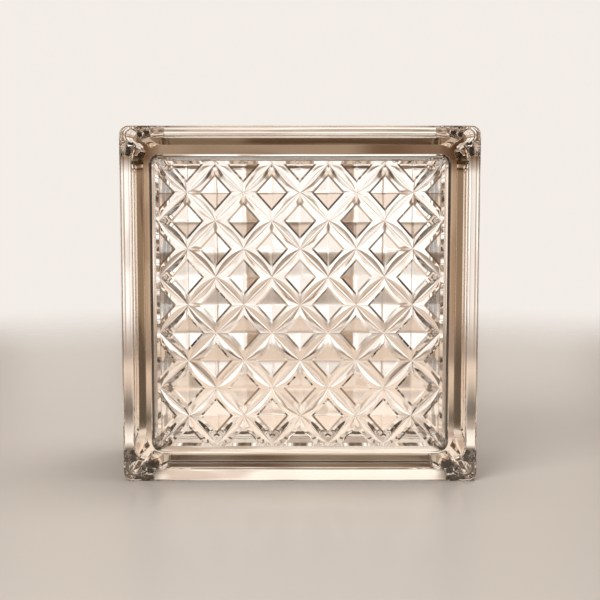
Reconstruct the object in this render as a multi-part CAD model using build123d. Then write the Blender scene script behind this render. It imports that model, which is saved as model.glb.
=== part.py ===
from build123d import *
import math
import os

# A hollow pressed glass block, in millimetres. It stands upright: X is its width, Y its depth, Z its height.
# The front face looks towards -Y. The origin is under the middle of the block, on the surface it stands on.

# Overall size
block_width = 190.0
block_height = 190.0
block_depth = 80.0
corner_radius = 5.0
face_edge_radius = 1.4

# Lips round the two faces, and the mortar channel between them, which is deepest at the seam
lip_thickness = 7.0
channel_depth_at_lip = 6.0
channel_depth_at_seam = 9.4
channel_root_radius = 1.0
wall_corner_radius = 10.0

# Near each corner both lips thicken along a ramp, which starts this far from the block's edge
ramp_start = 15.5
ramp_angle = 56.0
ramp_round = 4.5
corner_lip_thickness = 18.0

# Posts that join the two thick lips in each corner, and the webs that join them to the side walls
post_radius = 3.0
web_thickness = 3.4

# Fused seam round the middle of the side walls, and the shares of its height and width in each sloping side
seam_height = 0.8
seam_width = 2.6
seam_slope_up = 0.9
seam_slope_across = 0.3

# Thickness of the glass, and the corners of the hollow inside
face_thickness = 7.0
wall_thickness_at_face = 8.6
wall_thickness_at_seam = 5.0
hollow_radius_at_face = 5.5
hollow_radius_at_seam = 8.5
hollow_root_radius = 3.8

# Diamond lattice inside the front face: a pyramid in each cell, a leaf-shaped ridge between two cells
lattice_pitch = 30.0
pyramid_half_width = 7.5
pyramid_half_height = 8.4
pyramid_rise = 1.8
border_width = 1.0
border_rise = 0.5
leaf_half_width = 2.75
leaf_rise = 0.9
leaf_end_gap = 0.6

# How far a cutting or joining shape runs past the surface that it works on
overrun = 2.0
relief_root = 0.5

half_width = block_width / 2
half_height = block_height / 2
half_depth = block_depth / 2
lip_back = half_depth - lip_thickness
corner_lip_back = half_depth - corner_lip_thickness
face_inside = half_depth - face_thickness
half_pitch = lattice_pitch / 2
corners = [(side, level) for side in (-1, 1) for level in (-1, 1)]


def upright_outline(width, height, radius, y):
    """A rounded rectangle across the block at one depth, centred on the block."""
    plane = Plane(origin=(0, y, half_height), x_dir=(1, 0, 0), z_dir=(0, -1, 0))
    return plane * RectangleRounded(width, height, radius)


def upright_slab(width, height, radius, reach):
    """A rounded rectangle drawn out through the block, as far to the front as to the back."""
    return extrude(upright_outline(width, height, radius, reach), 2 * reach)


def edges_across(shape, y):
    """The edges of a shape that lie in the two planes across the block at this distance from its middle."""
    return shape.edges().filter_by(lambda edge: math.isclose(abs(edge.center().Y), y, abs_tol=0.001))


def polyhedron(faces):
    """A closed solid from the corner points of its flat faces."""
    return Solid(Shell([Face(Wire.make_polygon([Vector(*point) for point in face])) for face in faces]))


def outer_body():
    """The outer form before its channels are cut: a slab with rounded corners and softened face edges."""
    body = upright_slab(block_width, block_height, corner_radius, half_depth)
    return fillet(edges_across(body, half_depth), face_edge_radius)


def wall_outline(y, rise=0.0):
    """The side walls' outer outline at one depth, raised by this much from the channel's floor."""
    taper = (channel_depth_at_seam - channel_depth_at_lip) / lip_back
    set_in = channel_depth_at_seam - taper * abs(y) - rise
    return upright_outline(block_width - 2 * set_in, block_height - 2 * set_in, wall_corner_radius + rise, y)


def walled_core():
    """Everything inside the channel's floor: two halves that grow from the seam to the lips."""
    at_seam = wall_outline(0).face()
    return [loft([at_seam, wall_outline(face * (lip_back + overrun)).face()], ruled=True) for face in (-1, 1)]


def fused_seam():
    """The low ridge where the two halves were fused, with its sides sloping to the channel's floor."""
    ridge = extrude(wall_outline(seam_width / 2, seam_height), seam_width)
    rims = edges_across(ridge, seam_width / 2)
    return chamfer(rims, seam_slope_up * seam_height, seam_slope_across * seam_width)


def corner_posts():
    """A round post in each corner from lip to lip, with a web on the diagonal to the side wall."""
    length = 2 * (lip_back + overrun)
    post = Rot(90, 0, 0) * Cylinder(post_radius, length)
    web_length = channel_depth_at_seam * math.sqrt(2)
    web = Pos(-web_length / 2, 0, 0) * Box(web_length, length, web_thickness)
    pieces = []
    for side, level in corners:
        x = side * (half_width - corner_radius)
        z = half_height + level * (half_height - corner_radius)
        turn = 45 * level if side > 0 else 180 - 45 * level
        pieces.append(Pos(x, 0, z) * (post + Rot(0, -turn, 0) * web))
    return pieces


def channel_run(length):
    """The channel between two corners of a side, where it passes behind one lip, about its own middle.

    It is a slot with round ends that widens by the ramp's slope from the lip's back to the thick corners.
    """
    behind_lip = Plane(origin=(0, -lip_back, 0), x_dir=(1, 0, 0), z_dir=(0, 1, 0))
    mouth = behind_lip * SlotOverall(length, 2 * ramp_round)
    return extrude(mouth, lip_back - corner_lip_back, taper=ramp_angle - 90)


def channel_runs():
    """The eight runs of the channel behind the two lips, one on each side of both."""
    out_by = channel_depth_at_lip + channel_root_radius - ramp_round
    across = channel_run(block_width - 2 * ramp_start)
    upright = Rot(0, 90, 0) * channel_run(block_height - 2 * ramp_start)
    runs = []
    for level in (-1, 1):
        runs.append(Pos(0, 0, half_height + level * (half_height - out_by)) * across)
        runs.append(Pos(level * (half_width - out_by), 0, half_height) * upright)
    return runs + [Rot(0, 0, 180) * run for run in runs]


def mortar_channel():
    """What is cut away between the lips: a ring round the middle and the runs behind both lips."""
    ring = upright_slab(block_width + 2 * overrun, block_height + 2 * overrun, corner_radius, corner_lip_back)
    ring = ring.fuse(*channel_runs()).cut(*walled_core())
    reach = channel_root_radius / 2 - channel_depth_at_lip
    roots = [edge for edge in edges_across(ring, lip_back) if abs(edge.center().X) < half_width + reach
             and abs(edge.center().Z - half_height) < half_height + reach]
    ring = fillet(roots, channel_root_radius)
    return ring.cut(fused_seam(), *corner_posts())


def hollow_outline(channel_depth, wall_thickness, radius, y):
    """The hollow's outline at one depth, where the channel and the wall have this depth and thickness."""
    set_in = 2 * (channel_depth + wall_thickness)
    return upright_outline(block_width - set_in, block_height - set_in, radius, y).face()


def hollow():
    """The space inside: each half narrows from the seam to its face, and is rounded where wall meets face."""
    at_seam = hollow_outline(channel_depth_at_seam, wall_thickness_at_seam, hollow_radius_at_seam, 0)
    halves = []
    for face in (-1, 1):
        at_face = hollow_outline(channel_depth_at_lip, wall_thickness_at_face, hollow_radius_at_face,
                                 face * face_inside)
        half = loft([at_seam, at_face], ruled=True)
        halves.append(fillet(edges_across(half, face_inside), hollow_root_radius))
    return halves[0] + halves[1]


def lattice_steps(length):
    """How many half pitches of the lattice fit across the flat inside of a face. It is always even."""
    flat = length - 2 * (channel_depth_at_lip + wall_thickness_at_face + hollow_root_radius)
    return 2 * int(flat // lattice_pitch)


def pyramid(corner_points):
    """A low pyramid inside the front face, on the rhombus or half rhombus that these corners give.

    A steep narrow border lifts the pyramid's own foot off the face.
    """
    slant = math.hypot(pyramid_half_width, pyramid_half_height)
    across = 1 + border_width * slant / (pyramid_half_width * pyramid_half_height)
    tiers = [(across, -relief_root), (across, 0), (1, border_rise)]
    rings = [[(x * spread, y, z * spread) for x, z in corner_points] for spread, y in tiers]
    apex = (0, pyramid_rise, 0)
    faces = [rings[0]]
    for i in range(len(corner_points)):
        k = (i + 1) % len(corner_points)
        faces += [[lower[i], lower[k], upper[k], upper[i]] for lower, upper in zip(rings, rings[1:])]
        faces.append([rings[-1][i], rings[-1][k], apex])
    return polyhedron(faces)


def leaf():
    """A leaf-shaped ridge between two crossings of the lattice, highest and widest at its middle.

    Its crest falls and its sides draw in with the square of the distance from the middle.
    """
    reach = math.hypot(half_pitch, half_pitch) / 2 - leaf_end_gap
    stations = [(share * reach, 1 - share ** 2) for share in (-1, -1 / 3, 1 / 3, 1)]
    crest = [(x, leaf_rise * swell, 0) for x, swell in stations]
    faces = []
    roots = []
    for hand in (-1, 1):
        rim = [(x, 0, hand * leaf_half_width * swell) for x, swell in stations]
        root = [(x, -relief_root, z) for x, _, z in rim]
        faces += [[rim[0], rim[1], crest[1]], [rim[2], rim[3], crest[2]]]
        faces.append([rim[1], rim[2], crest[2], crest[1]])
        faces += [[rim[i], rim[i + 1], root[i + 1], root[i]] for i in range(3)]
        roots.append(root)
    faces.append(roots[0] + roots[1][2:0:-1])
    return polyhedron(faces)


def lattice():
    """All the pyramids and leaves of the front face. The pyramids at the border of the pattern are halves."""
    across_cell, up_cell = (pyramid_half_width, 0), (0, pyramid_half_height)
    rhombus = [across_cell, up_cell, (-pyramid_half_width, 0), (0, -pyramid_half_height)]
    whole = pyramid(rhombus)
    halves = [pyramid(rhombus[:i] + rhombus[i + 1:]) for i in range(4)]
    one_leaf = leaf()
    across = lattice_steps(block_width)
    upward = lattice_steps(block_height)
    pieces = []
    for column in range(across + 1):
        for row in range(upward + 1):
            x = (column - across / 2) * half_pitch
            z = half_height + (row - upward / 2) * half_pitch
            corner = Pos(x, -face_inside, z)
            if (column + row) % 2:
                borders = [column == across, row == upward, column == 0, row == 0]
                pieces.append(corner * (halves[borders.index(True)] if any(borders) else whole))
            if column < across and row < upward:
                turn = 45 if (column + row) % 2 else -45
                pieces.append(corner * Pos(half_pitch / 2, 0, half_pitch / 2) * Rot(0, turn, 0) * one_leaf)
    return pieces


def glass_block():
    """The fused block: the outer form less its mortar channel and less the hollow with its lattice."""
    patterned_hollow = hollow().cut(*lattice())
    return outer_body() - mortar_channel() - patterned_hollow


os.makedirs("parts", exist_ok=True)
block = glass_block()
block.label = "glass_block"
export_step(block, "parts/glass_block.step")
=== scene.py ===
import math

import bmesh
import bpy
import numpy as np
from bpy.props import FloatProperty, FloatVectorProperty, PointerProperty
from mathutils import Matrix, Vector


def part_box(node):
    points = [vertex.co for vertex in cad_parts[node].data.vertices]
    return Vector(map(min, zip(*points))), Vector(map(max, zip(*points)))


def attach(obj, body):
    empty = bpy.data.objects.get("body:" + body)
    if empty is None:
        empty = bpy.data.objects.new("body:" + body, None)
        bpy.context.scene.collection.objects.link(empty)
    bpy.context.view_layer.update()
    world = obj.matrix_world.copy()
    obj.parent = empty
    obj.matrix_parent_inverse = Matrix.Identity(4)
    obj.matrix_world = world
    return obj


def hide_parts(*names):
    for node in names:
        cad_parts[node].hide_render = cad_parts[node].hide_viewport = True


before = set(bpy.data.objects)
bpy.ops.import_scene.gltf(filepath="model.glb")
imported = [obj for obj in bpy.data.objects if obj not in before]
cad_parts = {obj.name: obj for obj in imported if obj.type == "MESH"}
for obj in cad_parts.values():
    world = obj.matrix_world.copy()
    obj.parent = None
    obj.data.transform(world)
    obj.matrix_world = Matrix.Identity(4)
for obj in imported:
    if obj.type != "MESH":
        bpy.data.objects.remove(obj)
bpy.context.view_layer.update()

bl_info = {
    "name": "Pressed glass block",
    "version": (1, 0, 0),
    "blender": (4, 5, 0),
    "location": "3D View > Sidebar > Glass block",
    "description": "A hollow pressed glass block with a diamond lattice, and a stage to look at it",
    "category": "Add Mesh",
}

# The block's own size comes from the frame: X is its width, Y its depth, Z its height
BOX_LOW, BOX_HIGH = np.array(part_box("glass_block"))
MIDDLE = (BOX_LOW + BOX_HIGH) / 2
HALF_FACE = (BOX_HIGH - BOX_LOW)[[0, 2]] / 2
HALF_DEPTH = (BOX_HIGH - BOX_LOW)[1] / 2
MILLIMETRE = 0.001

# Rows of the lattice along half a crest, as shares of the crest
CREST_ROWS = (0, 0.02, 0.06, 0.13, 0.23, 0.36, 0.5)

# Columns of the lattice, as shares of the way over a leaf, over the gap to a border, and up a pyramid
LEAF_COLUMNS = (0, 0.1, 0.22, 0.38, 0.6, 0.85, 1)
GAP_COLUMNS = (0.5, 1)
PYRAMID_COLUMNS = (0.05, 0.2, 0.4, 0.6, 0.8, 0.95, 1)

# Half the width of a leaf's blunt tip, as a share of the half pitch
LEAF_TIP = 0.03

# Share of a leaf, round its middle, where its edge lies on the plain face between the raised crossings
PLAIN_MIDDLE = 0.45

# Rows of the hollow: degrees round its root, shares of the way down its wall and out over its back
HOLLOW_ROOT_ANGLES = (0, 15, 30, 45, 60, 75, 86)
HOLLOW_WALL_ROWS = (0.35, 0.7, 0.93)
BACK_ROWS = (0.0, 0.5, 1.0)

# Rows of the outside over a face, as shares of the way out, and degrees round the face's edge
FACE_ROWS = (0.0, 0.5, 0.97)
FACE_EDGE_ANGLES = (0, 15, 30, 45, 60, 75, 90)

# Rows in the channel: shares of the way in behind the lip, degrees round the root, shares along the wall
LIP_ROWS = (0.05, 0.25, 0.45, 0.65, 0.83)
CHANNEL_ROOT_ANGLES = (0, 22, 45, 67, 90)
WALL_ROWS = (0.12, 0.3, 0.55, 0.8)

# Columns on half a side: round the corner, round the post, on past the ramp's end, and to the middle
CORNER_COLUMNS = 10
POST_COLUMNS = 13
RAMP_COLUMNS = 36
SIDE_COLUMNS = 12
RAMP_END = 20 * MILLIMETRE

# The seam outside, as shares of its half width and of its height
SEAM_PROFILE = ((1.0, 0.0), (0.6, 0.8), (0.3, 1.0), (0.0, 1.0))

# The bead that the seam leaves inside, as shares of the wall's depth and of the seam's height
BEAD_PROFILE = ((0.03, 0.5), (0.0, 0.75))

# Height of the small bevel behind the rim
RIM_BEVEL = 0.3 * MILLIMETRE

# Share of the post's radius beyond which the web shows beside the post
WEB_SHOWS = 0.7

# Share of the channel's depth that the rounding of its root may take
ROOT_SHARE = 0.7

# Points nearer to each other than this are joined, and edges that turn by more than this stay sharp
MERGE_DISTANCE = 0.002 * MILLIMETRE
SHARP_ANGLE = math.radians(12)


def length(name, millimetres, description):
    """A length property, with its default in millimetres."""
    return FloatProperty(name=name, description=description, default=millimetres * MILLIMETRE, min=0.0,
                         precision=5, unit="LENGTH")


def angle(name, degrees, description):
    """An angle property, with its default in degrees."""
    return FloatProperty(name=name, description=description, default=math.radians(degrees),
                         subtype="ANGLE")


def colour(name, default, description):
    """A colour property, with its default as red, green and blue."""
    return FloatVectorProperty(name=name, description=description, default=default, size=3,
                               min=0.0, max=1.0, subtype="COLOR")


class BodySizes(bpy.types.PropertyGroup):
    """Sizes of the block's outside and of the hollow in it."""

    corner_radius: length("Corner radius", 5.0, "Radius of the four upright corners of each face")
    edge_radius: length("Face edge radius", 1.4, "Rounding between a face and the rim of its lip")
    lip: length("Lip thickness", 7.0, "Thickness of the lip in front of the mortar channel")
    channel_at_lip: length("Channel depth at the lips", 6.0, "Depth of the mortar channel behind a lip")
    channel_at_seam: length("Channel depth at the seam", 9.4, "Depth of the channel at the seam")
    root_radius: length("Channel root radius", 1.0, "Rounding where a lip meets the side wall")
    wall_corner: length("Wall corner radius", 10.0, "Outer corner radius of the side walls")
    ramp_start: length("Ramp start", 15.5, "Where a lip starts to thicken, from the block's edge")
    ramp_round: length("Ramp rounding", 4.5, "Radius of the round end of the channel behind a lip")
    ramp_angle: angle("Ramp angle", 56, "Steepness of the ramp under the corners of a lip")
    corner_lip: length("Corner lip thickness", 18.0, "Thickness of the lip in the corners")
    post_radius: length("Post radius", 3.0, "Radius of the post that joins both lips in each corner")
    web: length("Web thickness", 3.4, "Thickness of the web from a post to the side walls")
    seam_rise: length("Seam height", 0.8, "Height of the fused seam over the channel's floor")
    seam_width: length("Seam width", 2.6, "Width of the fused seam")
    face: length("Face thickness", 7.0, "Thickness of the glass of a face, without its pattern")
    wall_at_face: length("Wall thickness at the face", 8.6, "Thickness of a side wall beside a face")
    wall_at_seam: length("Wall thickness at the seam", 5.0, "Thickness of a side wall at the seam")
    hollow_at_face: length("Hollow corner at the face", 5.5, "Corner radius of the hollow beside a face")
    hollow_at_seam: length("Hollow corner at the seam", 8.5, "Corner radius of the hollow at the seam")
    hollow_root: length("Hollow root radius", 3.8, "Rounding inside, where a side wall meets a face")


class LatticeSizes(bpy.types.PropertyGroup):
    """Sizes of the diamond lattice pressed into the inside of the front face."""

    half_pitch: length("Half pitch", 15.0, "Distance from a crossing of the lattice to a pyramid's centre")
    half_width: length("Pyramid half width", 7.5, "Half of its width across the block, on its border")
    half_height: length("Pyramid half height", 8.4, "Half of its height up the block, on its border")
    rise: length("Pyramid rise", 1.3, "Height of a pyramid over its border")
    border: length("Border width", 1.0, "Width of the steep border round a pyramid")
    border_rise: length("Border rise", 0.6, "Height of the border over the plain face")
    leaf_half_width: length("Leaf half width", 2.75, "Half of a leaf-shaped ridge's width")
    leaf_rise: length("Leaf rise", 0.9, "Height of a leaf-shaped ridge at its middle")
    crossing_rise: length("Crossing rise", 0.55, "Height of the glass at the crossings of the lattice")
    softness: FloatProperty(name="Ridge softness", default=0.13, min=0.01, max=0.5,
                            description="How broad the soft ridges of the pyramids are")
    crest: FloatProperty(name="Crest softness", default=0.25, min=0.01, max=0.9,
                         description="How broad the rounded crest of a leaf is")


class GlassFinish(bpy.types.PropertyGroup):
    """The look of the glass."""

    tint: colour("Tint", (0.66, 0.52, 0.36), "What is left of white light in thick glass")
    density: FloatProperty(name="Density", default=6.0, min=0.0,
                           description="How fast the tint builds up with the thickness of the glass")
    waviness: length("Waviness", 0.004, "Height of the faint waves that pressing leaves in the surface")


class StageLook(bpy.types.PropertyGroup):
    """The floor, the surroundings and the camera."""

    floor: colour("Floor", (0.72, 0.66, 0.60), "Colour of the floor as the camera sees it")
    # Painted light: in the glass the floor glows in the colours below instead of being lit
    floor_glow_near: colour("Near floor", (1.0, 0.88, 0.76), "Colour near the block, seen in the glass")
    floor_glow_patch: colour("Floor patches", (0.62, 0.48, 0.38), "Its soft patches, seen in the glass")
    floor_glow_ring: colour("Floor ring", (0.66, 0.50, 0.38), "Colour further out, seen in the glass")
    floor_glow_far: colour("Far floor", (0.22, 0.15, 0.11), "Colour of the far floor, seen in the glass")
    # Painted shadow in the glass: almost black under the block's two sides, and dark aside of it
    floor_painted_shade: colour("Dark floor", (0.04, 0.03, 0.02), "Under the corners and aside, seen in the glass")
    backdrop: colour("Backdrop", (0.90, 0.85, 0.80), "Colour of the background as the camera sees it")
    patch: colour("Patches", (0.46, 0.37, 0.30), "Colour of the soft patches in the surroundings")
    patch_scale: FloatProperty(name="Patch scale", default=10.0, description="How small the patches are")
    patch_shift: FloatVectorProperty(name="Patch shift", default=(0.0, 0.0, 0.0), size=3,
                                     description="Moves the soft patches round the block")
    patch_low: FloatProperty(name="Patch core", default=0.38, description="Noise below which it is full")
    patch_high: FloatProperty(name="Patch rim", default=0.54, description="Noise above which none is left")
    aim: length("Aim height", 98.2, "Height over the floor at which the camera aims")
    distance: length("Camera distance", 660, "From the camera to the middle of the block's front face")
    tilt: angle("Camera tilt", 5.8, "How far the camera looks down")
    lens: FloatProperty(name="Focal length", description="Focal length in millimetres", default=74.6)


class Number:
    """The output of a shader node that carries a number: an expression on it adds Math nodes."""

    def __init__(self, shader, socket):
        self.shader = shader
        self.socket = socket

    def apply(self, operation, *values, clamp=False):
        """Add a Math node with this operation on these values."""
        node = self.shader.node("ShaderNodeMath", {"operation": operation, "use_clamp": clamp},
                                dict(enumerate(values)))
        return Number(self.shader, node.outputs[0])

    def __add__(self, other):
        return self.apply("ADD", self, other)

    def __sub__(self, other):
        return self.apply("SUBTRACT", self, other)

    def __mul__(self, other):
        return self.apply("MULTIPLY", self, other)

    def __truediv__(self, other):
        return self.apply("DIVIDE", self, other)

    def __rsub__(self, other):
        return self.apply("SUBTRACT", other, self)

    def __rtruediv__(self, other):
        return self.apply("DIVIDE", other, self)

    def __abs__(self):
        return self.apply("ABSOLUTE", self)

    __radd__ = __add__
    __rmul__ = __mul__

    def most(self, other):
        """The larger of two numbers."""
        return self.apply("MAXIMUM", self, other)

    def step(self, low, high):
        """0 below low, 1 above high, and smooth between them."""
        share = self.apply("DIVIDE", self - low, high - low, clamp=True)
        return share * share * (3.0 - 2.0 * share)

    def within(self, rise, fall):
        """1 between two steps, which rises over the first pair of values and falls over the second."""
        return self.step(*rise) * (1.0 - self.step(*fall))


class Shader:
    """The node tree of a material or of the world, emptied and filled by the code."""

    def __init__(self, owner):
        owner.use_nodes = True
        self.tree = owner.node_tree
        self.tree.nodes.clear()

    def node(self, kind, settings=None, inputs=None):
        """Add a node of this kind, with its settings first and then the values or links of its inputs."""
        node = self.tree.nodes.new(kind)
        for name, value in (settings or {}).items():
            setattr(node, name, value)
        for name, value in (inputs or {}).items():
            if isinstance(value, Number):
                value = value.socket
            if isinstance(value, bpy.types.NodeSocket):
                self.tree.links.new(value, node.inputs[name])
            else:
                node.inputs[name].default_value = value
        return node

    def parts(self, vector):
        """The x, y and z of a vector, as three numbers."""
        node = self.node("ShaderNodeSeparateXYZ", None, {0: vector})
        return [Number(self, part) for part in node.outputs]

    def noise(self, position, scale, detail=1.0):
        """Smooth noise round a half, finer where the scale is larger."""
        node = self.node("ShaderNodeTexNoise", None, {"Vector": position, "Scale": scale, "Detail": detail})
        return Number(self, node.outputs[0])

    def mix(self, share, first, second, blend="MIX"):
        """One colour mixed with another."""
        settings = {"data_type": "RGBA", "blend_type": blend}
        return self.node("ShaderNodeMix", settings, {0: share, 6: first, 7: second}).outputs[2]

    def bands(self, position, bands, low, high):
        """A colour that goes by bands of a number, each with its start, its end and its colour.

        The position is the number as a share of the way from low to high. The colours blend between bands.
        """
        stops = []
        for start, end, shade in bands:
            stops += [((mark - low) / (high - low), (*shade, 1.0)) for mark in (start, end)]
        node = self.node("ShaderNodeValToRGB", None, {"Fac": position})
        marks = node.color_ramp.elements
        for place, shade in stops[1:-1]:
            marks.new(place).color = shade
        for mark, (place, shade) in zip((marks[0], marks[-1]), (stops[0], stops[-1])):
            mark.position = place
            mark.color = shade
        return node.outputs["Color"]


class Skin:
    """Collects grids of points and joins them into one mesh."""

    def __init__(self):
        self.points = []
        self.faces = []
        self.count = 0

    def add(self, points, flip=False, closed=False):
        """Add grids of points, with rows and columns as the last axes before x, y, z.

        A closed grid's last column is joined to its first. Flip turns its faces round.
        """
        ids = self.count + np.arange(points[..., 0].size).reshape(points.shape[:-1])
        self.points.append(points.reshape(-1, 3))
        self.count += ids.size
        if closed:
            ids = np.concatenate([ids, ids[..., :1]], axis=-1)
        corners = [ids[..., :-1, :-1], ids[..., 1:, :-1], ids[..., 1:, 1:], ids[..., :-1, 1:]]
        quads = np.stack(corners, axis=-1).reshape(-1, 4)
        self.faces.append(quads[:, ::-1] if flip else quads)

    def mesh(self, name):
        """Join the grids where their points meet. The result has to be closed, with glass inside it."""
        joined = bpy.data.meshes.new(name)
        joined.from_pydata(np.vstack(self.points), [], np.vstack(self.faces))
        work = bmesh.new()
        work.from_mesh(joined)
        bmesh.ops.remove_doubles(work, verts=work.verts, dist=MERGE_DISTANCE)
        loose = [vert for vert in work.verts if not vert.link_faces]
        bmesh.ops.delete(work, geom=loose, context="VERTS")
        whole = all(edge.is_manifold for edge in work.edges)
        volume = work.calc_volume(signed=True)
        work.to_mesh(joined)
        work.free()
        if not whole or volume <= 0:
            raise RuntimeError(f"The mesh {name} isn't closed, or it is inside out")
        joined.shade_smooth()
        joined.set_sharp_from_angle(angle=SHARP_ANGLE)
        return joined


def square_border(shares):
    """Points round the border of the square from -1 to 1, anticlockwise, at these shares of each side."""
    along = shares[:-1]
    edge = np.ones_like(along)
    sides = [(along, -edge), (edge, along), (-along, edge), (-edge, -along)]
    return np.concatenate([np.stack(side, axis=-1) for side in sides])


def rounded(border, half, radius):
    """Carry the square's border to a rounded rectangle: the points there, and the way out at each.

    A point goes to the nearest point of the rectangle shrunk by the radius, and out from it by the radius.
    """
    point = border * half
    inner = np.clip(point, radius - half, half - radius)
    out = point - inner
    out /= np.linalg.norm(out, axis=1, keepdims=True)
    return inner + out * radius, out


def quarter_round(radius, degrees):
    """Steps round a quarter circle: how far each lies in from its side, and how far down from its top."""
    for turn in np.radians(degrees):
        yield radius * (1 - math.sin(turn)), radius * (1 - math.cos(turn))


def place(plan, depth):
    """Points in space from their place across the block and their depth, positive towards the back."""
    depth = np.broadcast_to(depth, plan.shape[:-1])
    return np.stack([plan[..., 0] + MIDDLE[0], depth + MIDDLE[1], plan[..., 1] + MIDDLE[2]], axis=-1)


def half_cell(sizes):
    """The lattice between one crest and the centre of one pyramid, as offsets from a crossing and heights.

    Rows run along the crest, from the crossing at the origin to the one at (p, p). Columns run across it:
    over the leaf, whose edge swells as 4s(1 - s), over the plain gap, up the border and on to the pyramid's
    apex at (p, 0). The leaf's height falls from its crest as a rounded line. The pyramid's height falls by
    equal shares across and up, both rounded as the root of a square plus the softness squared.
    """
    p = sizes.half_pitch
    s = np.array(CREST_ROWS)
    s = np.concatenate([s, 1 - s[-2::-1]])[:, None]
    inward = np.array([1, -1]) / math.sqrt(2)
    swell = 4 * s * (1 - s)
    tip = LEAF_TIP * p
    crest = np.stack([s * p, s * p], axis=-1)
    bulge = (sizes.leaf_half_width - tip / math.sqrt(2)) * swell
    leaf_edge = np.stack([tip + (p - tip) * s, (p - tip) * s], axis=-1) + bulge[..., None] * inward
    leaf_width = tip / math.sqrt(2) + bulge
    a, b = sizes.half_width, sizes.half_height
    spread = 1 + sizes.border * math.hypot(a, b) / (a * b)
    apex = np.array([p, 0.0])
    brim = np.stack([p - a * (1 - s), b * s], axis=-1)
    foot = apex + (brim - apex) * spread

    near_crossing = np.clip((np.abs(1 - 2 * s) - PLAIN_MIDDLE) / (1 - PLAIN_MIDDLE), 0, 1)
    edge_height = sizes.crossing_rise * near_crossing
    leaf_slope = sizes.leaf_rise / sizes.leaf_half_width

    def pyramid_height(points):
        """Height over the face at these points of the pyramid."""
        e = sizes.softness
        across = np.sqrt(((points[..., 0] - p) / a) ** 2 + e * e)
        upward = np.sqrt((points[..., 1] / b) ** 2 + e * e)
        return sizes.border_rise + sizes.rise * (1 + e - across - upward)

    columns = []
    heights = []
    for t in LEAF_COLUMNS:
        soft = (math.hypot(t, sizes.crest) - sizes.crest) / (math.hypot(1, sizes.crest) - sizes.crest)
        columns.append(crest * (1 - t) + leaf_edge * t)
        heights.append(edge_height + leaf_slope * leaf_width * (1 - soft))
    for t in GAP_COLUMNS:
        columns.append(leaf_edge * (1 - t) + foot * t)
        heights.append(edge_height * (1 - t))
    columns.append(brim)
    heights.append(pyramid_height(brim))
    for t in PYRAMID_COLUMNS:
        columns.append(brim * (1 - t) + apex * t)
        heights.append(pyramid_height(columns[-1]))
    return np.concatenate(columns, axis=1), np.concatenate(heights, axis=1)


def lattice_counts(body, lattice):
    """How many half pitches fit across and up the flat inside of a face. Both are even."""
    edge = body.channel_at_lip + body.wall_at_face + body.hollow_root
    return 2 * ((HALF_FACE - edge) // lattice.half_pitch).astype(int)


def lattice_grids(body, lattice):
    """All half cells of the front face's lattice, as two groups of grids with opposite turning sense.

    In a cell whose column and row add up to an even number the crest rises to the right, and in the others
    to the left. A half cell lies on each side of the crest, one of them turned half round.
    """
    offsets, heights = half_cell(lattice)
    counts = lattice_counts(body, lattice)
    column, row = np.meshgrid(*[np.arange(count) for count in counts], indexing="ij")
    even = (column + row) % 2 == 0
    rising = (((0, 0), (1, 1)), ((1, 1), (-1, -1)))
    falling = (((1, 0), (-1, 1)), ((0, 1), (1, -1)))
    groups = []
    for chosen, corners in ((even, rising), (~even, falling)):
        cells = np.stack([column[chosen], row[chosen]], axis=-1)
        grids = []
        for corner, turn in corners:
            crossing = (cells + corner - counts / 2) * lattice.half_pitch
            plan = crossing[:, None, None, :] + offsets * np.array(turn)
            grids.append(place(plan, heights - inner_face(body)))
        groups.append(np.concatenate(grids))
    return groups


def inner_face(body):
    """Distance from the block's middle to the inside of a face: half its depth less the face's glass."""
    return HALF_DEPTH - body.face


def lattice_border(body, lattice):
    """The outline of the lattice: its points across the block and their heights, in order round it.

    The border follows the two kinds of half cell side by side, so it has the same points as they have.
    """
    offsets, heights = half_cell(lattice)
    p = lattice.half_pitch
    counts = lattice_counts(body, lattice)
    same_place = 1e-9
    legs = []
    for distance, height in ((offsets[0, :, 0], heights[0]), (p - offsets[-1, :, 1], heights[-1])):
        kept = np.concatenate([[True], np.diff(distance) > same_place])
        legs.append((distance[kept], height[kept]))
    places = []
    levels = []
    for (distance, height), count in zip(legs, counts):
        steps = []
        rises = []
        for k in range(0, count, 2):
            steps += [k * p + distance[:-1], (k + 2) * p - distance[:0:-1]]
            rises += [height[:-1], height[:0:-1]]
        places.append(np.concatenate(steps) - count * p / 2)
        levels.append(np.concatenate(rises))
    half = counts * p / 2
    across, upward = places
    sides = [(across, np.full_like(across, -half[1])), (np.full_like(upward, half[0]), upward),
             (-across, np.full_like(across, half[1])), (np.full_like(upward, -half[0]), -upward)]
    outline = np.concatenate([np.stack(side, axis=-1) for side in sides])
    return outline, np.concatenate([levels[0], levels[1], levels[0], levels[1]])


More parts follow.
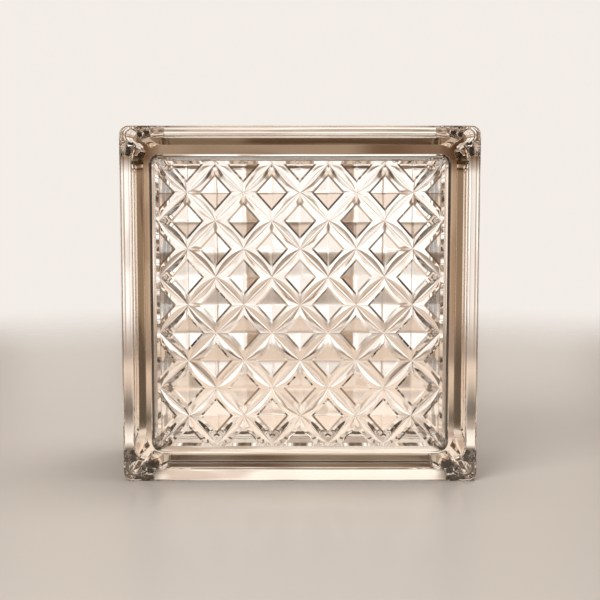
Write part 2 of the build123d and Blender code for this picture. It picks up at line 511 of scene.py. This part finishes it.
def hollow_skin(skin, body, lattice):
    """The sealed hollow: a lattice inside the front face, a plain back, and drafted walls.

    Its profile goes from a face round the root, straight down the wall to the seam, and up the seam's bead.
    """
    for grids, flip in zip(lattice_grids(body, lattice), (False, True)):
        skin.add(grids, flip=flip)
    outline, heights = lattice_border(body, lattice)
    unit = outline / np.abs(outline).max(axis=0)
    half_at_face = HALF_FACE - body.channel_at_lip - body.wall_at_face
    half_at_seam = HALF_FACE - body.channel_at_seam - body.wall_at_seam
    depth = inner_face(body)
    profile = []
    for in_by, down in quarter_round(body.hollow_root, HOLLOW_ROOT_ANGLES):
        profile.append((half_at_face - in_by, body.hollow_at_face - in_by, depth - down))
    start = profile[-1]
    end = (half_at_seam, body.hollow_at_seam, 0.0)
    for t in HOLLOW_WALL_ROWS:
        profile.append([low + (high - low) * t for low, high in zip(start, end)])
    for share, rise in BEAD_PROFILE:
        profile.append((half_at_seam - body.seam_rise * rise, body.hollow_at_seam, start[2] * share))
    rings = [(rounded(unit, half, radius)[0], y) for half, radius, y in profile]
    front = [place(outline, heights - depth)] + [place(plan, -y) for plan, y in rings]
    skin.add(np.stack(front), flip=True, closed=True)
    back = [place(outline * share, depth) for share in BACK_ROWS] + [place(plan, y) for plan, y in rings]
    skin.add(np.stack(back), closed=True)


def lip_inside(plan, body):
    """Distance from the block's middle to the back of a lip at these points across the block.

    Behind the lip the channel is a slot with round ends. Outside the slot the lip thickens by the ramp's
    slope times the distance to it, down to the thick corners.
    """
    reach = np.abs(plan)
    axis = HALF_FACE - (body.channel_at_lip + body.root_radius - body.ramp_round)
    straight = HALF_FACE - body.ramp_start - body.ramp_round
    past = np.maximum(reach - straight, 0)
    off_upright = np.hypot(reach[:, 0] - axis[0], past[:, 1])
    off_across = np.hypot(reach[:, 1] - axis[1], past[:, 0])
    away = np.maximum(np.minimum(off_upright, off_across) - body.ramp_round, 0)
    ramp = HALF_DEPTH - body.lip - math.tan(body.ramp_angle) * away
    return np.maximum(ramp, HALF_DEPTH - body.corner_lip)


def channel_depth(border, depth, body):
    """How deep the channel is, straight in from each point of the rim, at this distance from the middle.

    It ends at the side wall, whose corner is an arc, at the web on the diagonal or at the round post. Round
    the block's own corner the way in points at the post's centre.
    """
    plan, out = rounded(border, HALF_FACE, body.corner_radius)
    depth = np.broadcast_to(depth, len(plan))
    taper = (body.channel_at_lip - body.channel_at_seam) / (HALF_DEPTH - body.lip)
    floor = body.channel_at_seam + taper * depth
    along = np.max(HALF_FACE - np.abs(plan), axis=1)
    never = np.full_like(along, np.inf)
    radius = body.wall_corner
    arc_drop = np.clip(radius + floor - along, 0, radius)
    wall = np.where(along > floor, floor + radius - np.sqrt(radius ** 2 - arc_drop ** 2), never)
    past_post = along > body.corner_radius + WEB_SHOWS * body.post_radius
    web = np.where(past_post, along - body.web / math.sqrt(2), never)
    off_axis = np.abs(along - body.corner_radius)
    chord = np.sqrt(np.maximum(body.post_radius ** 2 - off_axis ** 2, 0))
    post = np.where(off_axis < body.post_radius, body.corner_radius - chord, never)
    nearest = np.minimum(np.minimum(wall, web), post)
    on_side = np.isclose(np.abs(out).max(axis=1), 1.0, rtol=0, atol=1e-6)
    return plan, out, np.where(on_side, nearest, body.corner_radius - body.post_radius)


def rim_shares(body):
    """Where the columns of the outside stand along a side of the block, from -1 to 1.

    Half of the side has even steps round the corner, even angles round the post up to its web, fine steps
    past the ramp's end and wide ones to the side's middle. The other half mirrors them.
    """
    to_web = 45 + math.degrees(math.asin(body.web / 2 / body.post_radius))
    turns = np.radians(np.linspace(0, to_web, POST_COLUMNS))
    around_post = body.corner_radius + body.post_radius * np.sin(turns)
    distances = np.concatenate([
        np.linspace(0, body.corner_radius, CORNER_COLUMNS),
        around_post[1:],
        np.linspace(around_post[-1], RAMP_END, RAMP_COLUMNS)[1:],
        np.linspace(RAMP_END, HALF_FACE[0], SIDE_COLUMNS)[1:],
    ])
    shares = distances / HALF_FACE[0] - 1
    return np.concatenate([shares, -shares[-2::-1]])


def outer_skin(skin, body):
    """The outside: one profile carried round the block, for the front and mirrored for the back.

    It goes out over the face, round its edge, straight in behind the lip by shares of the channel's depth,
    round the root, along the side wall to the seam, and up the seam's slope to its crest.
    """
    border = square_border(rim_shares(body))
    corner = body.corner_radius
    rim, out, depth_in = channel_depth(border, HALF_DEPTH - body.lip, body)
    root = np.minimum(body.root_radius, ROOT_SHARE * depth_in)

    def inward(distance):
        """The rim's points moved straight in."""
        return rim - out * distance[:, None]

    profile = [(rim * share, HALF_DEPTH) for share in FACE_ROWS]
    for in_by, down in quarter_round(body.edge_radius, FACE_EDGE_ANGLES):
        profile.append((rounded(border, HALF_FACE - in_by, corner - in_by)[0], HALF_DEPTH - down))
    profile.append((rim, lip_inside(rim, body) + RIM_BEVEL))
    for share in LIP_ROWS:
        plan = inward((depth_in - root) * share)
        profile.append((plan, lip_inside(plan, body)))
    for short, down in quarter_round(root, CHANNEL_ROOT_ANGLES):
        plan = inward(depth_in - short)
        profile.append((plan, lip_inside(plan, body) - down))
    start = profile[-1][1]
    gap = channel_depth(border, start, body)[2] - depth_in
    for share in WALL_ROWS:
        y = start * (1 - share) + body.seam_width / 2 * share
        plan = inward(channel_depth(border, y, body)[2] - gap * (1 - share))
        profile.append((plan, y))
    floor = channel_depth(border, 0.0, body)[2]
    for share, rise in SEAM_PROFILE:
        plan = inward(floor - body.seam_rise * rise)
        profile.append((plan, body.seam_width / 2 * share))
    for face in (-1, 1):
        rings = np.stack([place(plan, face * y) for plan, y in profile])
        skin.add(rings, flip=face > 0, closed=True)


# Index of refraction of soda-lime glass
REFRACTION = 1.52

# Scales of the faint waves all over the glass and of the fine ripple along the fused seam
WAVE_SCALE = 45.0
RIPPLE_SCALE = 700.0
RIPPLE_DETAIL = 2.0

# Height of the ripple as a multiple of the waves', the seam's roughness, and the depths where both end
RIPPLE_HEIGHT = 4.0
SEAM_ROUGHNESS = 0.12
SEAM_END = (1.0 * MILLIMETRE, 1.8 * MILLIMETRE)


def glass_material(finish):
    """Clear pressed glass: smooth, faintly waved by the mould, and slightly warm where it is thick."""
    material = bpy.data.materials.new("clear_pressed_glass")
    shader = Shader(material)
    position = shader.node("ShaderNodeTexCoord").outputs["Object"]
    depth = shader.parts(position)[1]
    seam = 1.0 - abs(depth).step(*SEAM_END)
    waves = shader.noise(position, WAVE_SCALE)
    ripple = shader.noise(position, RIPPLE_SCALE, RIPPLE_DETAIL)
    height = waves + ripple * seam * RIPPLE_HEIGHT
    bump = shader.node("ShaderNodeBump", None, {
        "Strength": 1.0,
        "Distance": finish.waviness,
        "Height": height,
    })
    glass = shader.node("ShaderNodeBsdfPrincipled", None, {
        "Base Color": (1.0, 1.0, 1.0, 1.0),
        "Roughness": seam * SEAM_ROUGHNESS,
        "IOR": REFRACTION,
        "Transmission Weight": 1.0,
        "Normal": bump.outputs[0],
    })
    tint = shader.node("ShaderNodeVolumeAbsorption", None, {
        "Color": (*finish.tint, 1.0),
        "Density": finish.density,
    })
    shader.node("ShaderNodeOutputMaterial", None, {"Surface": glass.outputs[0], "Volume": tint.outputs[0]})
    return material


def turn_from_depth(x, y):
    """Degrees from the block's depth axis: 0 along it, in front and behind alike, and 90 straight aside."""
    return 90.0 - abs(abs(x.apply("ARCTAN2", x, y)) * math.degrees(1) - 90.0)


# Half the width of the floor, in metres
FLOOR_REACH = 1.5

# Distances from the block's middle over which one look of the floor gives way to the next, in metres
NEAR_TO_RING = (0.12, 0.24)
RING_TO_FAR = (0.36, 0.48)
FLOOR_TO_BACKDROP = (0.45, 0.9)

# Painted shadow under the block's two sides: where it starts across, and ends in depth, in metres
SHADOW_SIDES_START = (0.074, 0.082)
SHADOW_SIDES_END = (0.040, 0.055)

# Dark glow aside of the block: where it starts, in degrees from its depth and metres from its middle
ASIDE_TURN = (20.0, 34.0)
ASIDE_FROM = (0.12, 0.20)

# Scale of the floor's patches, its roughness, and what it reflects in the glass besides its painted glow: a
# dimmed copy of its colour
FLOOR_PATCH_SCALE = 22.0
FLOOR_ROUGHNESS = 0.2
DIM_FLOOR = (0.05, 0.04, 0.03, 1.0)


def floor_material(look):
    """A pale polished floor, which fades out into the background away from the block.

    In the glass it shows a painted glow instead: cream with soft tan patches near the block, tan in a ring
    further out, brown beyond, and almost black under the block's two sides, a painted shadow, and aside of
    it.
    """
    material = bpy.data.materials.new("pale_floor")
    shader = Shader(material)
    position = shader.node("ShaderNodeTexCoord").outputs["Object"]
    from_middle = shader.node("ShaderNodeVectorMath", {"operation": "LENGTH"}, {0: position})
    distance = Number(shader, from_middle.outputs["Value"])
    clear = shader.noise(position, FLOOR_PATCH_SCALE).step(look.patch_low, look.patch_high)
    # Painted light, seen only in the glass: the floor glows cream with tan patches near the block, then
    # tan, then brown
    glow = shader.mix(clear, (*look.floor_glow_patch, 1.0), (*look.floor_glow_near, 1.0))
    glow = shader.mix(distance.step(*NEAR_TO_RING), glow, (*look.floor_glow_ring, 1.0))
    glow = shader.mix(distance.step(*RING_TO_FAR), glow, (*look.floor_glow_far, 1.0))
    across, depth, _ = shader.parts(position)
    # Painted shadow: the glow goes almost black under the block's two sides, and also aside of it
    under = abs(across).step(*SHADOW_SIDES_START) * (1.0 - abs(depth).step(*SHADOW_SIDES_END))
    aside = turn_from_depth(across, depth).step(*ASIDE_TURN) * distance.step(*ASIDE_FROM)
    glow = shader.mix(under.most(aside), glow, (*look.floor_painted_shade, 1.0))
    seen = shader.node("ShaderNodeLightPath").outputs["Is Camera Ray"]
    surface = shader.node("ShaderNodeBsdfPrincipled", None, {
        "Base Color": shader.mix(seen, DIM_FLOOR, (*look.floor, 1.0)),
        "Roughness": FLOOR_ROUGHNESS,
        "Emission Color": shader.mix(seen, glow, (0.0, 0.0, 0.0, 1.0)),
        "Emission Strength": 1.0,
    })
    nothing = shader.node("ShaderNodeBsdfTransparent")
    mixed = shader.node("ShaderNodeMixShader", None, {
        0: distance.step(*FLOOR_TO_BACKDROP),
        1: surface.outputs[0],
        2: nothing.outputs[0],
    })
    shader.node("ShaderNodeOutputMaterial", None, {"Surface": mixed.outputs[0]})
    return material


def lay_floor(look):
    """A flat square floor under the block."""
    reach = FLOOR_REACH
    corners = [(-reach, -reach, 0), (reach, -reach, 0), (reach, reach, 0), (-reach, reach, 0)]
    mesh = bpy.data.meshes.new("floor")
    mesh.from_pydata(corners, [], [(0, 1, 2, 3)])
    mesh.materials.append(floor_material(look))
    piece = bpy.data.objects.new("floor", mesh)
    bpy.context.collection.objects.link(piece)


# Light of the studio's panels, where 1 is white paper, and of the dark gaps between them
PALE = (1.30, 1.24, 1.17)
CREAM = (0.98, 0.80, 0.66)
PEACH = (0.75, 0.54, 0.39)
BROWN = (0.20, 0.14, 0.10)
UMBER = (0.22, 0.15, 0.09)
LAMP = (1.70, 1.60, 1.50)
GAP = (0.03, 0.025, 0.02)

# The panels' thin frames, and what a panel keeps of its light: all of it, little of it, or a warm glow
FRAME = (0.42, 0.30, 0.21)
FULL = (1.0, 1.0, 1.0)
SHADE = (0.25, 0.18, 0.12)
GLOW = (1.00, 0.84, 0.72)

# Bands of light by height over the horizon: start and end in degrees, and colour
BY_HEIGHT = (
    (-90, -30, BROWN),
    (-18, -12.6, PEACH),
    (-11.6, 0.5, PALE),
    (0.7, 1.4, FRAME),
    (1.7, 3.8, CREAM),
    (4.6, 7, PALE),
    (12, 28, UMBER),
    (34, 66, GAP),
    (70, 80, LAMP),
    (84, 90, GAP),
)

# Bands by turn from the block's depth: start and end in degrees, and what they keep of the light by height
BY_TURN = (
    (0, 6.5, FULL),
    (6.8, 7.4, FRAME),
    (8.0, 12, FULL),
    (17, 28, SHADE),
    (31, 40, GLOW),
    (44, 79, GAP),
    (83, 90, FULL),
)

# Heights over which the turn stops counting, in degrees
TURN_FADES = (30.0, 38.0)

# Where no patches lie, in degrees: by turn beside the middle panel, and by height just over the horizon
BESIDE_START = (7.5, 8.5)
BESIDE_END = (13.0, 16.0)
OVER_START = (1.5, 2.5)
OVER_END = (6.0, 8.0)

# Heights where the patches straight ahead are faint, in degrees, and how far they are cleared away there
AHEAD_START = (-12.0, -11.0)
AHEAD_END = (0.0, 0.6)
AHEAD_CLEAR = 0.65


def surroundings(look):
    """A studio of pale panels in thin frames, with dark gaps between them and a ring of soft light above.

    The colour by height is multiplied by the colour by turn, alike in front and behind. Soft tan patches
    lie over it, but not beside the middle panel or just over the horizon, and faintly straight ahead.
    The camera itself sees a plain pale background.
    """
    world = bpy.data.worlds.new("studio")
    bpy.context.scene.world = world
    shader = Shader(world)
    direction = shader.node("ShaderNodeTexCoord").outputs["Generated"]
    x, y, z = shader.parts(direction)
    height = z.apply("ARCSINE", z) * math.degrees(1)
    turn = turn_from_depth(x, y)
    by_height = shader.bands((height + 90.0) / 180.0, BY_HEIGHT, -90, 90)
    by_turn = shader.bands(turn / 90.0, BY_TURN, 0, 90)
    panels = shader.mix(1.0, by_height, by_turn, blend="MULTIPLY")
    panels = shader.mix(height.step(*TURN_FADES), panels, by_height)
    shifted = shader.node("ShaderNodeVectorMath", {"operation": "ADD"}, {0: direction, 1: look.patch_shift})
    clear = shader.noise(shifted.outputs[0], look.patch_scale).step(look.patch_low, look.patch_high)
    beside = turn.within(BESIDE_START, BESIDE_END)
    over = height.within(OVER_START, OVER_END)
    ahead = (1.0 - turn.step(*BESIDE_END)) * height.within(AHEAD_START, AHEAD_END)
    clear = clear.most(beside.most(over)).most(ahead * AHEAD_CLEAR)
    patches = shader.mix(clear, (*look.patch, 1.0), (1.0, 1.0, 1.0, 1.0))
    around = shader.mix(1.0, panels, patches, blend="MULTIPLY")
    seen = shader.node("ShaderNodeLightPath").outputs["Is Camera Ray"]
    light = shader.node("ShaderNodeBackground", None, {
        "Color": shader.mix(seen, around, (*look.backdrop, 1.0)),
        "Strength": 1.0,
    })
    shader.node("ShaderNodeOutputWorld", None, {"Surface": light.outputs[0]})


# Lamps: name, place and side in metres, and power in watts
LAMPS = (
    ("key_lamp", (-0.6, -0.9, 1.1), 0.8, 12.0),
    ("top_lamp", (0.2, 0.1, 1.3), 0.6, 8.0),
)


def aim_at(target, holder, location):
    """Put a lamp or the camera in its place and point it at the target."""
    bpy.context.collection.objects.link(holder)
    holder.location = location
    holder.rotation_euler = (target - location).to_track_quat("-Z", "Y").to_euler()


def soft_lamp(name, location, size, power):
    """A square area lamp that points at the block and lights the floor. The glass doesn't show it."""
    lamp = bpy.data.lights.new(name, "AREA")
    lamp.size = size
    lamp.energy = power
    holder = bpy.data.objects.new(name, lamp)
    aim_at(Vector(MIDDLE), holder, Vector(location))
    holder.visible_glossy = False
    holder.visible_transmission = False


def stand_camera(look):
    """The camera in front of the block, which looks slightly down at the middle of its front face."""
    camera = bpy.data.cameras.new("camera")
    camera.sensor_width = 36.0
    camera.lens = look.lens
    holder = bpy.data.objects.new("camera", camera)
    target = Vector((MIDDLE[0], BOX_LOW[1], look.aim))
    away = Vector((0.0, -math.cos(look.tilt), math.sin(look.tilt)))
    aim_at(target, holder, target + away * look.distance)
    bpy.context.scene.camera = holder


class GLASSBLOCK_OT_body(bpy.types.Operator):
    """Press the glass body: the outer skin with its channel, and the sealed hollow with its lattice"""

    bl_idname = "glassblock.body"
    bl_label = "Glass body"

    def execute(self, context):
        scene = context.scene
        skin = Skin()
        outer_skin(skin, scene.block_body)
        hollow_skin(skin, scene.block_body, scene.block_lattice)
        mesh = skin.mesh("pressed_glass_body")
        mesh.materials.append(glass_material(scene.block_finish))
        piece = bpy.data.objects.new("pressed_glass_body", mesh)
        context.collection.objects.link(piece)
        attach(piece, "root")
        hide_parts("glass_block")
        return {"FINISHED"}


class GLASSBLOCK_OT_stage(bpy.types.Operator):
    """Set up the pale floor, the soft light round the block and the camera"""

    bl_idname = "glassblock.stage"
    bl_label = "Stage"

    def execute(self, context):
        look = context.scene.block_stage
        lay_floor(look)
        surroundings(look)
        for lamp in LAMPS:
            soft_lamp(*lamp)
        stand_camera(look)
        context.scene.view_settings.view_transform = "Standard"
        cycles = context.scene.cycles
        cycles.max_bounces = 32
        cycles.transmission_bounces = 32
        cycles.glossy_bounces = 16
        cycles.transparent_max_bounces = 16
        return {"FINISHED"}


class GLASSBLOCK_PT_panel(bpy.types.Panel):
    """The glass block's pieces and their sizes"""

    bl_idname = "GLASSBLOCK_PT_panel"
    bl_label = "Glass block"
    bl_space_type = "VIEW_3D"
    bl_region_type = "UI"
    bl_category = "Glass block"

    def draw(self, context):
        for operator, groups in PANEL_ROWS:
            box = self.layout.box()
            box.operator(operator)
            for group in groups:
                values = getattr(context.scene, group)
                for name in values.bl_rna.properties.keys():
                    if name not in ("rna_type", "name"):
                        box.prop(values, name)


PANEL_ROWS = (
    ("glassblock.body", ("block_body", "block_lattice", "block_finish")),
    ("glassblock.stage", ("block_stage",)),
)
GROUPS = {
    "block_body": BodySizes,
    "block_lattice": LatticeSizes,
    "block_finish": GlassFinish,
    "block_stage": StageLook,
}
CLASSES = (*GROUPS.values(), GLASSBLOCK_OT_body, GLASSBLOCK_OT_stage, GLASSBLOCK_PT_panel)


def register():
    for entry in CLASSES:
        bpy.utils.register_class(entry)
    for name, group in GROUPS.items():
        setattr(bpy.types.Scene, name, PointerProperty(type=group))


def unregister():
    for name in GROUPS:
        delattr(bpy.types.Scene, name)
    for entry in reversed(CLASSES):
        bpy.utils.unregister_class(entry)


def main():
    """Make every piece and the stage."""
    register()
    bpy.ops.glassblock.body()
    bpy.ops.glassblock.stage()


if __name__ == "__main__":
    main()
